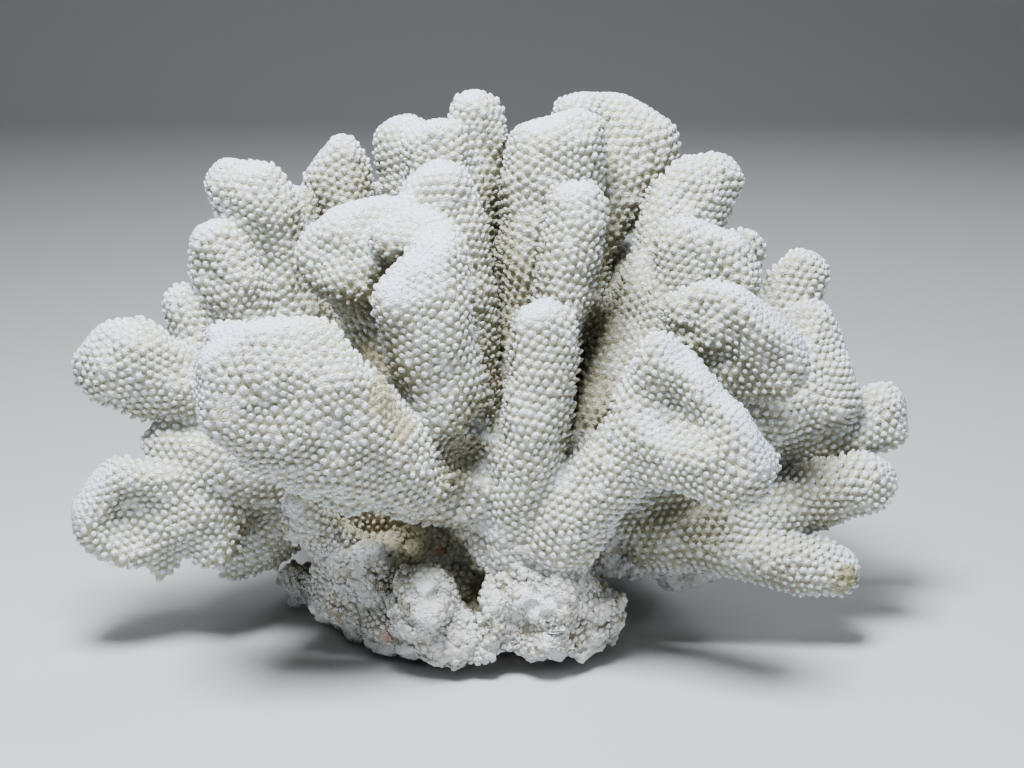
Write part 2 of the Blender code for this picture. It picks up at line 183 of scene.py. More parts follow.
# The skin that the solids share once they have grown together
skin = {
    "merge": 0.002 * mm,
    "swell": 0.2 * mm,
    "grain": 1.3 * mm,
    "rounds": 40,
    "relax": 0.7,
    "giveBack": -0.735,
    "farRounds": 20,
    "farFrom": 0.015,
    "farTo": 0.045,
    "wobbles": ((75, 1.3 * mm), (150, 0.7 * mm)),
    "crusted": ("base", "under_crust"),
}


def grownTogether():
    # Every solid in one mesh, swollen so that the gaps at the forks close, with the number of the solid that
    # each face comes from
    joined = bmesh.new()
    owners = []
    for number, name in enumerate(sorted(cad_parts)):
        solid = bmesh.new()
        solid.from_mesh(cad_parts[name].data)
        bmesh.ops.remove_doubles(solid, verts=solid.verts, dist=skin["merge"])
        solid.normal_update()
        places = [vert.co + vert.normal * skin["swell"] for vert in solid.verts]
        for vert, place in zip(solid.verts, places):
            vert.co = place
        owners += [number] * len(solid.faces)
        mesh = bpy.data.meshes.new(name + " swollen")
        solid.to_mesh(mesh)
        solid.free()
        joined.from_mesh(mesh)
        bpy.data.meshes.remove(mesh)
    joined.faces.ensure_lookup_table()
    return joined, np.array(owners)


def inOrder(mesh):
    # The same mesh with its elements sorted by place, so that each run builds on the same order
    bm = bmesh.new()
    bm.from_mesh(mesh)
    scale = Vector((1.0, 31.7, 977.3))
    bm.verts.sort(key=lambda vert: vert.co.dot(scale))
    bm.edges.sort(key=lambda edge: (edge.verts[0].co + edge.verts[1].co).dot(scale))
    bm.faces.sort(key=lambda face: face.calc_center_median().dot(scale))
    bm.to_mesh(mesh)
    bm.free()
    return mesh


def makeSkin(joined):
    # A close even grid over the joined solids, with the facets relaxed away and the volume given back
    mesh = bpy.data.meshes.new("skin")
    joined.to_mesh(mesh)
    obj = newObject("skin", mesh)
    grid = obj.modifiers.new("grid", "REMESH")
    grid.mode = "VOXEL"
    grid.voxel_size = skin["grain"]
    smooth = inOrder(withModifiers(obj))
    bpy.data.objects.remove(obj)
    points, ends = pointsOf(smooth), edgesOf(smooth)
    for _ in range(skin["rounds"]):
        for factor in (skin["relax"], skin["giveBack"]):
            points += factor * (neighbourMean(points, ends) - points)
    far = smoothStep(skin["farFrom"], skin["farTo"], points[:, 1])[:, None]
    for _ in range(skin["farRounds"]):
        points += 0.5 * far * (neighbourMean(points, ends) - points)
    setPoints(smooth, points)
    normals = normalsOf(smooth)
    for scale, size in skin["wobbles"]:
        waves = np.array([noise.noise(vert.co * scale) for vert in smooth.vertices])
        points += normals * (np.clip(waves, -1, 1) * size)[:, None]
    setPoints(smooth, points)
    return smooth


# Strokes that work the skin where the picture shows a dish or a ridge:
# pixel, radius in pixels and depth in millimetres, negative for a ridge
strokes = [
    ((350, 285), 36, -3.5),
    ((345, 335), 22, -3.0),
    ((322, 262), 34, 1.5),
    ((395, 245), 20, -2.0),
    ((378, 264), 20, -4.0),
    ((368, 288), 15, -4.0),
    ((480, 425), 22, 6.0),
    ((476, 465), 28, 8.0),
    ((460, 505), 30, 6.0),
    ((330, 502), 26, 3.5),
    ((380, 510), 26, 4.0),
    ((430, 520), 24, 4.0),
    ((672, 412), 38, 5.0),
    ((700, 430), 30, 2.5),
    ((650, 480), 22, -2.0),
    ((712, 336), 26, -4.0),
    ((690, 345), 18, -2.0),
    ((748, 352), 34, -1.5),
    ((130, 515), 44, 3.5),
    ((175, 505), 34, 1.5),
    ((270, 400), 60, 1.0),
    ((395, 575), 60, -2.0),
    ((352, 540), 20, 3.5),
    ((410, 535), 30, 5.0),
    ((297, 502), 17, -4.5),
    ((296, 530), 17, -4.5),
    ((455, 455), 34, 4.0),
]
# Grooves between the knobs of the foot: pixels along each, radius in pixels and depth in millimetres
grooves = [
    ([(392, 572), (388, 600), (402, 626), (432, 636), (462, 622), (474, 598)], 9, 3.5),
    ([(474, 585), (478, 612), (480, 648)], 7, 3.0),
    ([(508, 625), (506, 655)], 8, 4.0),
    ([(512, 626), (545, 634), (578, 636), (592, 618)], 8, 3.5),
    ([(316, 556), (330, 590), (352, 622)], 8, 2.5),
]


# How a stroke fades from its middle, and on skin that faces another way
fade = {"core": 0.15, "facingFrom": 0.1, "facingTo": 0.5, "dabStep": 1.3}


def spotAt(tree, pixel):
    # Where the line of sight through a pixel meets the skin, and which way the skin faces there
    place, facing, _, _ = tree.ray_cast(viewerPlace(), rayThrough(pixel))
    return place, facing


def alongLine(line, radius):
    # Pixels along a groove, near enough together to run into each other
    found = []
    for first, second in zip(line, line[1:]):
        count = max(1, round(math.dist(first, second) / (radius * fade["dabStep"])))
        found += [tuple(Vector(first).lerp(Vector(second), i / count)) for i in range(count)]
    return found


def workSkin(smooth):
    points, normals = pointsOf(smooth), normalsOf(smooth)
    tree = treeOf(smooth)
    dabs = list(strokes)
    for line, radius, depth in grooves:
        dabs += [(pixel, radius, depth) for pixel in alongLine(line, radius)]
    for pixel, radius, depth in dabs:
        place, facing = spotAt(tree, pixel)
        if not place:
            continue
        reach = radius * perPixel
        away = np.linalg.norm(points - np.array(place), axis=1) / reach
        turned = smoothStep(fade["facingFrom"], fade["facingTo"], normals @ np.array(facing))
        share = (1 - smoothStep(fade["core"], 1, away)) * turned
        points -= np.array(facing) * (share * depth * mm)[:, None]
    setPoints(smooth, points)


# How a blade grows, where it is dead or worn, and how the dead foot is lumped
growth = {
    "heart": (0.006, 0.010, 0.035),
    "upward": 0.35,
    "blend": 14,
    "tipFrom": 0.42,
    "tipTo": 0.88,
    "tipRounds": 14,
    "flatTip": 0.12 * mm,
    "roundTip": 0.45 * mm,
    "deadBelow": 0.036,
    "aliveAbove": 0.056,
    # Shade settings: rays and reach for how much the coral covers each point, which sets the painted shade of
    # hollows and the pegs' height there; the facing of undersides, and the shares of painted shade on
    # undersides and at the inner spots
    "rays": 40,
    "reach": 0.045,
    "underside": (0.1, -0.8),
    "underShade": 0.3,
    "innerShade": 0.6,
}
lumps = {
    "scale": 105,
    "warp": 0.35,
    "crease": 4.0 * mm,
    "creaseWidth": 0.26,
    "swirl": 2.2 * mm,
    "swirlScale": 60,
}
worn = [
    ((185, 450), 36, 0.8),
    ((372, 368), 24, 1.0),
    ((388, 400), 24, 1.0),
    ((402, 425), 16, 1.0),
    ((540, 602), 46, 1.0),
    ((428, 592), 40, 1.0),
]
# Inner and lower places given painted shade, drawn darker and creamier than the rest, each with its strength
paintedShadeSpots = [
    ((455, 465), 55, 1.0),
    ((470, 410), 34, 0.8),
    ((600, 330), 44, 0.6),
    ((590, 400), 40, 0.8),
    ((130, 515), 50, 0.35),
    ((700, 520), 80, 0.8),
    ((825, 485), 60, 0.8),
    ((780, 555), 80, 0.5),
    ((672, 410), 36, 0.6),
    ((350, 520), 50, 0.6),
    ((420, 600), 60, 0.3),
    ((240, 520), 60, 0.4),
]
# Faces near a tip that carry pegs all the same, each with its strength
pegged = [
    ((396, 238), 30, 1.0),
    ((440, 190), 22, 0.7),
    ((330, 245), 34, 0.8),
    ((155, 440), 34, 1.0),
    ((560, 135), 24, 0.6),
]
# Where a branch broke off and left a cream scar, where a stain and pink crusts are, each with its strength
marks = {
    "scar": [((370, 365), 26, 1.0), ((388, 400), 28, 1.0), ((404, 428), 20, 1.0), ((400, 540), 46, 0.7)],
    "stain": [((847, 582), 19, 0.7), ((853, 572), 12, 1.0), ((238, 345), 16, 0.25)],
    "pink": [((375, 518), 9, 0.5), ((443, 548), 8, 0.8), ((385, 638), 8, 0.9), ((447, 655), 9, 0.5)],
}


def growthOf(node):
    # Outwards from the heart of the colony, kept in the plane of the blade, and a little upwards
    points = pointsOf(node.data)
    middle = points.mean(axis=0)
    across = np.linalg.svd(points - middle, full_matrices=False)[2][2]
    out = middle - np.array(growth["heart"])
    out -= across * (out @ across)
    out = unit(out)
    out[2] += growth["upward"]
    return unit(out)


def spotField(points, tree, spots, core=0.55):
    # How near each point is to the nearest of the spots, from 0 to the spot's strength
    field = np.zeros(len(points))
    for pixel, radius, strength in spots:
        place, _ = spotAt(tree, pixel)
        away = np.linalg.norm(points - np.array(place), axis=1) / (radius * perPixel)
        field = np.maximum(field, strength * (1 - smoothStep(core, 1, away)))
    return field


def lumpHeight(place):
    # Rounded lumps parted by creases, all of it inwards
    here = place * lumps["scale"]
    near = noise.voronoi(here + noise.noise_vector(here) * lumps["warp"])[0]
    crease = 1 - min((near[1] - near[0]) / lumps["creaseWidth"], 1)
    swirl = noise.noise(place * lumps["swirlScale"])
    return -lumps["crease"] * crease * crease - lumps["swirl"] * max(swirl, 0)


def describeSkin(smooth, ownerTree, owners):
    # Fields over the skin: whose it is, which way it grows, where it is a tip, dead or worn
    names = sorted(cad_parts)
    points, normals, ends = pointsOf(smooth), normalsOf(smooth), edgesOf(smooth)
    grows = np.array([growthOf(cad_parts[name]) for name in names])
    crusted = np.array([name in skin["crusted"] for name in names])
    owner = owners[[ownerTree.find_nearest(vert.co)[2] for vert in smooth.vertices]]
    out = unit(smoothOver(grows[owner], ends, growth["blend"]))
    dead = smoothOver(crusted[owner].astype(float), ends, 5)
    dead *= 1 - smoothStep(growth["deadBelow"], growth["aliveAbove"], points[:, 2])
    for i in np.flatnonzero(dead > 0.02):
        points[i] += normals[i] * lumpHeight(Vector(points[i])) * dead[i]
    setPoints(smooth, points)
    tree = treeOf(smooth)
    along = (normals * out).sum(axis=1)
    # On the far side only a rounded end counts as a tip
    bulge = ((points - smoothOver(points, ends, growth["tipRounds"])) * normals).sum(axis=1)
    far = smoothStep(skin["farFrom"], skin["farTo"], points[:, 1])
    spared = 1 - spotField(points, tree, pegged, 0.3)
    flat = 1 - smoothStep(growth["flatTip"], growth["roundTip"], smoothOver(bulge, ends, 3))
    rounded = 1 - far * flat
    tip = smoothStep(growth["tipFrom"], growth["tipTo"], along) * rounded * spared * (1 - dead)
    tip = smoothOver(tip, ends, 4)
    seen = normals @ -np.array(viewerAxes()[2])
    near = smoothStep(*bumps["turnedAway"], seen) * smoothStep(*bumps["farBack"], points[:, 1])
    size = bumps["farSpacing"] + (bumps["spacing"] - bumps["farSpacing"]) * near
    size += (bumps["tipSpacing"] - size) * smoothStep(*bumps["tipShare"], tip)
    size = smoothOver(size, ends, 6)
    fields = {"out": out, "dead": dead, "tip": tip, "size": size, "worn": spotField(points, tree, worn)}
    # Painted shade near the listed inner and lower spots
    fields["shade"] = spotField(points, tree, paintedShadeSpots, 0.1)
    for name, spots in marks.items():
        fields[name] = spotField(points, tree, spots)
    return fields, tree


# The pegs that cover the skeleton, and how they are spread
bumps = {
    "spacing": 2.85 * mm,
    "farSpacing": 3.5 * mm,
    "tipSpacing": 2.1 * mm,
    "turnedAway": (-0.45, 0.15),
    "farBack": (0.055, 0.02),
    "tipShare": (0.35, 0.9),
    "rounds": 9,
    "longest": 1.36,
    "shortest": 0.72,
    "flattest": 0.7,
    "foot": 0.385,
    "shoulder": 0.315,
    "shoulderHeight": 0.70,
    "height": 1.5 * mm,
    "heightSpread": 0.25,
    "lean": 0.5,
    "onTips": 0.24,
    "onDead": 0.55,
    "widerOnDead": 0.10,
    "onWorn": 0.25,
    "largest": 1.15,
    "inHollows": 0.35,
    "hollow": (0.25, 0.7),
    "thinnerInHollows": 0.14,
    "slimHollow": (0.15, 0.5),
    "merging": 0.13,
    "mergeScale": 330,
}


def lookUp(tree, corners, place):
    # The nearest point of the skin and one of the skin's vertices there
    found, _, face, _ = tree.find_nearest(place)
    return found, corners[face]


def splitLong(bm, size):
    long = []
    for edge in bm.edges:
        if edge.calc_length() > bumps["longest"] * (edge.verts[0][size] + edge.verts[1][size]) / 2:
            long.append(edge)
    bmesh.ops.subdivide_edges(bm, edges=long, cuts=1)
    bmesh.ops.triangulate(bm, faces=[face for face in bm.faces if len(face.verts) > 3])


def collapseShort(bm, size):
    # Closes up short edges that lie well apart, and only where the skin stays a skin
    taken = set()
    chosen = []
    for edge in sorted(bm.edges, key=lambda edge: edge.calc_length() / edge.verts[0][size]):
        first, second = edge.verts
        if edge.calc_length() > bumps["shortest"] * first[size]:
            break
        aroundFirst = {link.other_vert(first) for link in first.link_edges}
        aroundSecond = {link.other_vert(second) for link in second.link_edges}
        ring = aroundFirst | aroundSecond
        if len(aroundFirst & aroundSecond) == 2 and not ring & taken:
            taken |= ring
            chosen.append(edge)
    bmesh.ops.collapse(bm, edges=chosen)


def turnEdges(bm):
    # Turns an edge where that brings the points nearer to six neighbours each
    for edge in list(bm.edges):
        if len(edge.link_faces) != 2 or edge.calc_face_angle(0) > bumps["flattest"]:
            continue
        first, second = edge.verts
        third, fourth = (next(v for v in face.verts if v not in edge.verts) for face in edge.link_faces)
        before = [len(v.link_edges) - 6 for v in (first, second, third, fourth)]
        after = [before[0] - 1, before[1] - 1, before[2] + 1, before[3] + 1]
        if sum(n * n for n in after) < sum(n * n for n in before):
            bmesh.utils.edge_rotate(edge, True)


def relaxOn(bm, size, tree, corners, sizes):
    # Slides each point towards the middle of its neighbours, along the skin
    moved = []
    for vert in bm.verts:
        around = [edge.other_vert(vert).co for edge in vert.link_edges]
        middle = sum(around, Vector()) / len(around)
        moved.append(lookUp(tree, corners, vert.co.lerp(middle, 0.6)))
    for vert, (place, corner) in zip(bm.verts, moved):
        vert.co = place
        vert[size] = sizes[corner]


def spreadBumps(smooth, tree, corners, sizes):
    # A net of triangles on the skin, with a peg to come at each of its points
    areas = np.array([face.area for face in smooth.polygons])
    wanted = (areas / (sizes[corners] ** 2 * math.sqrt(3) / 4)).sum()
    obj = newObject("net", smooth.copy())
    thin = obj.modifiers.new("thin", "DECIMATE")
    thin.ratio = wanted / (2 * len(smooth.polygons))
    bm = bmesh.new()
    bm.from_mesh(withModifiers(obj))
    bpy.data.objects.remove(obj)
    bmesh.ops.triangulate(bm, faces=bm.faces)
    size = bm.verts.layers.float.new("size")
    relaxOn(bm, size, tree, corners, sizes)
    for _ in range(bumps["rounds"]):
        splitLong(bm, size)
        collapseShort(bm, size)
        turnEdges(bm)
        relaxOn(bm, size, tree, corners, sizes)
    bmesh.ops.dissolve_degenerate(bm, dist=bumps["spacing"] * 0.05, edges=bm.edges)
    bmesh.ops.delete(bm, geom=[vert for vert in bm.verts if not vert.link_faces], context="VERTS")
    bmesh.ops.recalc_face_normals(bm, faces=bm.faces)
    bm.normal_update()
    bm.verts.index_update()
    return bm


def directions(count):
    # Directions spread evenly over a ball
    turn = math.pi * (3 - math.sqrt(5))
    found = []
    for i in range(count):
        z = 1 - (2 * i + 1) / count
        ring = math.sqrt(1 - z * z)
        found.append(Vector((ring * math.cos(turn * i), ring * math.sin(turn * i), z)))
    return found


def hiddenShare(net):
    # How much of the open air above each point the coral itself takes up; the colour darkens with it as
    # painted shade
    tree = BVHTree.FromBMesh(net)
    rays = directions(growth["rays"])
    shares = []
    for vert in net.verts:
        start = vert.co + vert.normal * bumps["spacing"] * 0.5
        weight = blocked = 0
        for ray in rays:
            slope = ray.dot(vert.normal)
            if slope > 0.15:
                weight += slope
                if tree.ray_cast(start, ray, growth["reach"])[0]:
                    blocked += slope
        shares.append(blocked / weight)
    return np.array(shares)


def describePegs(net, tree, corners, fields, ownerTree, owners):
    # What each peg is like, one row for each point of the net, and each triangle's owner
    corner = np.array([lookUp(tree, corners, vert.co)[1] for vert in net.verts])
    ends = np.array([[vert.index for vert in edge.verts] for edge in net.edges])
    pegs = {name: values[corner] for name, values in fields.items()}
    pegs["middle"] = np.array([vert.co for vert in net.verts])
    pegs["facing"] = np.array([vert.normal for vert in net.verts])
    lengths = [[edge.calc_length() for edge in vert.link_edges] for vert in net.verts]
    pegs["size"] = np.array([sum(each) / len(each) for each in lengths])
    # Painted shade: pegs facing downwards count as more hidden, and those at the listed inner spots more
    # still; the material darkens them by this, and the pegs also grow taller and slimmer with it
    under = smoothStep(*growth["underside"], pegs["facing"][:, 2])
    hidden = smoothOver(hiddenShare(net), ends, 2) + growth["underShade"] * under
    pegs["hidden"] = np.minimum(hidden + growth["innerShade"] * pegs["shade"], 1)
    pegs["strength"] = 1 + bumps["heightSpread"] * np.array([random.uniform(-1, 1) for _ in lengths])
    out, facing = pegs["out"], pegs["facing"]
    flatOut = out - facing * (out * facing).sum(axis=1, keepdims=True)
    pegs["way"] = unit(facing + bumps["lean"] * flatOut * (1 - pegs["dead"])[:, None])
    height = bumps["height"] * pegs["strength"] * np.minimum(pegs["size"] / bumps["spacing"], bumps["largest"])
    height *= 1 + bumps["inHollows"] * smoothStep(*bumps["hollow"], pegs["hidden"])
    height *= 1 + (bumps["onTips"] - 1) * pegs["tip"]
    height *= 1 + (bumps["onDead"] - 1) * pegs["dead"]
    height *= 1 + (bumps["onWorn"] - 1) * pegs["worn"]
    pegs["height"] = height
    slim = bumps["thinnerInHollows"] * smoothStep(*bumps["slimHollow"], pegs["hidden"]) * (1 - pegs["dead"])
    pegs["width"] = pegs["size"] * (1 - slim + bumps["widerOnDead"] * pegs["dead"])

    ownerLayer = net.faces.layers.int.new("owner")
    pegOwner = np.full(len(net.verts), len(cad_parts) + 2)
    for face in net.faces:
        number = int(owners[ownerTree.find_nearest(face.calc_center_median())[2]])
        name = sorted(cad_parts)[number]
        if name in skin["crusted"] and all(isRock(pegs, vert.index, name) for vert in face.verts):
            number = len(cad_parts) + skin["crusted"].index(name)
        face[ownerLayer] = number
        for vert in face.verts:
            pegOwner[vert.index] = min(pegOwner[vert.index], number)
    pegs["owner"] = pegOwner
    return pegs


# The bare rock of the foot: how high it reaches, and its pits from coarse to fine
rock = {
    "reach": {"base": 0.011, "under_crust": 0.2},
    "ragged": 0.006,
    "raggedScale": 70,
    "cuts": 3,
    "sunk": 0.4 * mm,
    "wornAway": 0.75,
    "grains": ((330, 0.9 * mm), (900, 0.5 * mm), (2100, 0.22 * mm)),
}


def isRock(pegs, i, name):
    place = pegs["middle"][i]
    ragged = rock["ragged"] * noise.noise(Vector(place) * rock["raggedScale"])
    low = pegs["dead"][i] > 0.5 and place[2] + ragged < rock["reach"][name]
    return low or pegs["worn"][i] > 0.9 and name == "base"


def rockHeight(place):
    return sum(noise.noise(place * scale) * size for scale, size in rock["grains"])


def takeShare(netMesh, number):
    # The triangles of one owner, with a further ring of triangles around them
    bm = bmesh.new()
    bm.from_mesh(netMesh)
    owner = bm.faces.layers.int["owner"]
    near = set()
    for vert in bm.verts:
        if any(face[owner] == number for face in vert.link_faces):
            near.update(vert.link_faces)
    bmesh.ops.delete(bm, geom=[face for face in bm.faces if face not in near], context="FACES")
    return bm, owner


def raisePegs(netMesh, number, pegOwner, middles):
    # Opens each point of the net into a ring and draws the ring out into a peg with a rounded end
    bm, owner = takeShare(netMesh, number)
    bump = bm.verts.layers.int.new("bump")
    level = bm.verts.layers.int.new("level")
    opened = bmesh.ops.bevel(
        bm, geom=bm.verts[:], offset=bumps["foot"] * 100, offset_type="PERCENT",
        segments=1, profile=0.5, affect="VERTICES", material=-1,
    )
    for face in opened["faces"]:
        nearest = middles.find(face.calc_center_median())[1]
        for vert in face.verts:
            vert[bump] = nearest
    tops = bmesh.ops.extrude_discrete_faces(bm, faces=opened["faces"])["faces"]
    for face in tops:
        for vert in face.verts:
            vert[level] = 1
    ends = bmesh.ops.poke(bm, faces=tops)["verts"]
    for vert in ends:
        vert[level] = 2
        vert[bump] = vert.link_edges[0].other_vert(vert)[bump]
    others = []
    for face in bm.faces:
        numbers = {vert[bump] for vert in face.verts}
        mine = pegOwner[numbers.pop()] == number if len(numbers) == 1 else face[owner] == number
        if not mine:
            others.append(face)
    bmesh.ops.delete(bm, geom=others, context="FACES")
    bmesh.ops.triangulate(bm, faces=[face for face in bm.faces if len(face.verts) > 3])
    return bm


def layerOf(mesh, name):
    values = np.empty(len(mesh.vertices), np.int32)
    mesh.attributes[name].data.foreach_get("value", values)
    return values


def addField(mesh, name, values):
    field = mesh.attributes.new(name, "FLOAT", "POINT")
    field.data.foreach_set("value", values.astype(np.float32))


def shapePegs(bm, name, pegs, tree):
    mesh = bpy.data.meshes.new(name)
    bm.to_mesh(mesh)
    bm.free()
    which, level = layerOf(mesh, "bump"), layerOf(mesh, "level")
    points = pointsOf(mesh)
    middle, facing, way = pegs["middle"][which], pegs["facing"][which], pegs["way"][which]
    height = pegs["height"][which][:, None]
    aside = points - middle
    aside = unit(aside - facing * (aside * facing).sum(axis=1, keepdims=True))
    width = pegs["width"][which][:, None]
    foot = middle + aside * width * bumps["foot"]
    link = np.zeros(len(points))
    for i in np.flatnonzero(level == 0):
        foot[i] = tree.find_nearest(foot[i])[0]
        halfway = Vector(middle[i] + (points[i] - middle[i]) * 0.5 / bumps["foot"])
        link[i] = noise.noise(halfway * bumps["mergeScale"])
    link = smoothStep(bumps["merging"], bumps["merging"] + 0.15, link) * (1 - pegs["worn"][which])
    foot += way * height * 0.5 * link[:, None]
    shoulder = middle + aside * width * bumps["shoulder"] + way * height * bumps["shoulderHeight"]
    end = middle + way * height
    shaped = np.where((level == 0)[:, None], foot, np.where((level == 1)[:, None], shoulder, end))
    setPoints(mesh, np.clip(shaped, np.array(cadLow), np.array(cadHigh)))
    addField(mesh, "rise", np.where(level == 0, 0.3 * link, np.where(level == 1, 0.75, 1.0)))
    for field in ("tip", "hidden", "dead", "worn", *marks):
        addField(mesh, field, pegs[field][which])
    return mesh


def shapeRock(netMesh, number, name, pegs, tree):
    # The bare rock, cut finer and pitted
    bm = bmesh.new()
    bm.from_mesh(netMesh)
    owner = bm.faces.layers.int["owner"]
    for field in ("tip", "hidden", "dead", "worn", *marks):
        layer = bm.verts.layers.float.new(field)
        for vert in bm.verts:
            vert[layer] = 0 if field == "tip" else pegs[field][vert.index]
    bmesh.ops.delete(bm, geom=[face for face in bm.faces if face[owner] != number], context="FACES")
    bmesh.ops.subdivide_edges(bm, edges=bm.edges, cuts=rock["cuts"], use_grid_fill=True)
    bmesh.ops.triangulate(bm, faces=[face for face in bm.faces if len(face.verts) > 3])
    rise = bm.verts.layers.float.new("rise")
    wear = bm.verts.layers.float["worn"]
    bm.normal_update()
    for vert in bm.verts:
        height = rockHeight(vert.co) * (1 - rock["wornAway"] * vert[wear])
        vert[rise] = 0.5 + 0.5 * height / mm
        if not vert.is_boundary:
            place, facing, _, _ = tree.find_nearest(vert.co)
            vert.co = place + facing * (height - rock["sunk"])
        vert.co.z = max(vert.co.z, 0)
    mesh = bpy.data.meshes.new(name)
    bm.to_mesh(mesh)
    bm.free()
    return mesh


# How a piece is closed where it grows out of its neighbours
closing = {
    "depth": 2.0 * mm,
    "cover": 0.4 * mm,
    "step": 1.2 * mm,
}


def isInside(face, tree):
    # True where the face lies within the body all the way across
    first, second, third = (vert.co for vert in face.verts)
    steps = max(3, math.ceil(max(edge.calc_length() for edge in face.edges) / closing["step"]))
    for i in range(steps + 1):
        for j in range(steps + 1 - i):
            place = (first * i + second * j + third * (steps - i - j)) / steps
            nearest, facing, _, _ = tree.find_nearest(place)
            if (place - nearest).dot(facing) > -closing["cover"]:
                return False
    return True


def closeEnds(mesh, tree):
    # A collar turned into the body along each open edge, and a lid over it
    bm = bmesh.new()
    bm.from_mesh(mesh)
    bm.edges.ensure_lookup_table()
    rim = [edge for edge in bm.edges if edge.is_boundary]
    for edge in rim:
        edge.smooth = False
    made = bmesh.ops.extrude_edge_only(bm, edges=rim)["geom"]
    for vert in made:
        if isinstance(vert, bmesh.types.BMVert):
            vert.co -= tree.find_nearest(vert.co)[1] * closing["depth"]
            vert.co.z = max(vert.co.z, 0)
    lids = bmesh.ops.holes_fill(bm, edges=[edge for edge in bm.edges if edge.is_boundary], sides=0)["faces"]
    lids = bmesh.ops.triangulate(bm, faces=lids)["faces"]
    bmesh.ops.delete(bm, geom=[lid for lid in lids if not isInside(lid, tree)], context="FACES")
    for face in bm.faces:
        face.smooth = True
    bm.to_mesh(mesh)
    bm.free()


def addPiece(mesh, name, node):
    piece = newObject(name, mesh)
    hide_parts(node)
    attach(piece, "root")
    slot = "crusted_foot" if node in skin["crusted"] else "coral_skeleton"
    mesh.materials.append(materials[slot])
    return piece


def growCoral():
    names = sorted(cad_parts)
    joined, owners = grownTogether()
    ownerTree = BVHTree.FromBMesh(joined)
    smooth = makeSkin(joined)
    joined.free()
    workSkin(smooth)
    print("skin:", len(smooth.polygons), "faces")
    fields, tree = describeSkin(smooth, ownerTree, owners)
    corners = np.array([face.vertices[0] for face in smooth.polygons])
    net = spreadBumps(smooth, tree, corners, fields["size"])
    print("net:", len(net.verts), "pegs,", len(net.faces), "triangles")
    pegs = describePegs(net, tree, corners, fields, ownerTree, owners)
    middles = KDTree(len(net.verts))
    for vert in net.verts:
        middles.insert(vert.co, vert.index)
    middles.balance()
    netMesh = bpy.data.meshes.new("net")
    net.to_mesh(netMesh)
    net.free()
    print("pegs described")

    pieces = []
    for number, name in enumerate(names):
        mesh = shapePegs(raisePegs(netMesh, number, pegs["owner"], middles), name + "_grown", pegs, tree)
        if len(mesh.polygons):
            closeEnds(mesh, tree)
            pieces.append(addPiece(mesh, name + "_grown", name))
    for place, name in enumerate(skin["crusted"]):
        mesh = shapeRock(netMesh, len(names) + place, name + "_rock", pegs, tree)
        closeEnds(mesh, tree)
        pieces.append(addPiece(mesh, name + "_rock", name))
    counts = {piece.name: len(piece.data.polygons) for piece in pieces}
    print("pieces:", len(pieces), "with", sum(counts.values()), "faces")
    print("the largest:", max(counts.items(), key=lambda item: item[1]))
    return pieces


# The colours, from the light crests of the pegs to the deepest hollows
colours = {
    # crest and tip: the skeleton's white with a painted cool blue tint that stands in for the cool top light
    "crest": (0.84, 0.89, 0.94),
    "tip": (0.71, 0.80, 0.95),
    # shadedCrest and hollow are painted shade; the valley is partly the cream floor between the pegs and
    # partly painted shade
    "shadedCrest": (0.37, 0.365, 0.30),
    "valley": (0.54, 0.52, 0.385),
    "hollow": (0.31, 0.285, 0.185),
    "rock": (0.76, 0.78, 0.77),
    "pit": (0.40, 0.36, 0.26),
    "scar": (0.52, 0.47, 0.32),
    "stain": (0.34, 0.31, 0.18),
    "pink": (0.60, 0.40, 0.34),
    "speck": (0.08, 0.07, 0.05),
}


class NodeTree:
    # Short ways to add and link a material's nodes
    def __init__(self, material):
        material.use_nodes = True
        self.tree = material.node_tree
        self.shader = self.tree.nodes["Principled BSDF"]

    def add(self, kind, **values):
        node = self.tree.nodes.new("ShaderNode" + kind)
        for key, value in values.items():
            setattr(node, key, value)
        return node

    def link(self, source, target):
        self.tree.links.new(source, target)

    def put(self, socket, value):
        if isinstance(value, bpy.types.NodeSocket):
            self.link(value, socket)
        elif isinstance(value, tuple):
            socket.default_value = (*value, 1)
        else:
            socket.default_value = value

    def field(self, name):
        return self.add("Attribute", attribute_name=name).outputs["Fac"]

    def math(self, operation, first, second=0.0):
        node = self.add("Math", operation=operation)
        self.put(node.inputs[0], first)
        self.put(node.inputs[1], second)
        return node.outputs[0]

    def ramp(self, value, low, high):
        node = self.add("MapRange", interpolation_type="SMOOTHSTEP")
        self.put(node.inputs["Value"], value)
        node.inputs["From Min"].default_value = low
        node.inputs["From Max"].default_value = high
        return node.outputs["Result"]

    def mix(self, share, first, second):
        node = self.add("Mix", data_type="RGBA")
        self.put(node.inputs["Factor"], share)
        self.put(node.inputs["A"], first)
        self.put(node.inputs["B"], second)
        return node.outputs["Result"]

    def noise(self, place, scale, detail=3):
        node = self.add("TexNoise")
        self.link(place, node.inputs["Vector"])
        node.inputs["Scale"].default_value = scale
        node.inputs["Detail"].default_value = detail
        return node.outputs["Fac"]

    def cells(self, place, scale):
        node = self.add("TexVoronoi")
        self.link(place, node.inputs["Vector"])
        node.inputs["Scale"].default_value = scale
        return node.outputs["Distance"]


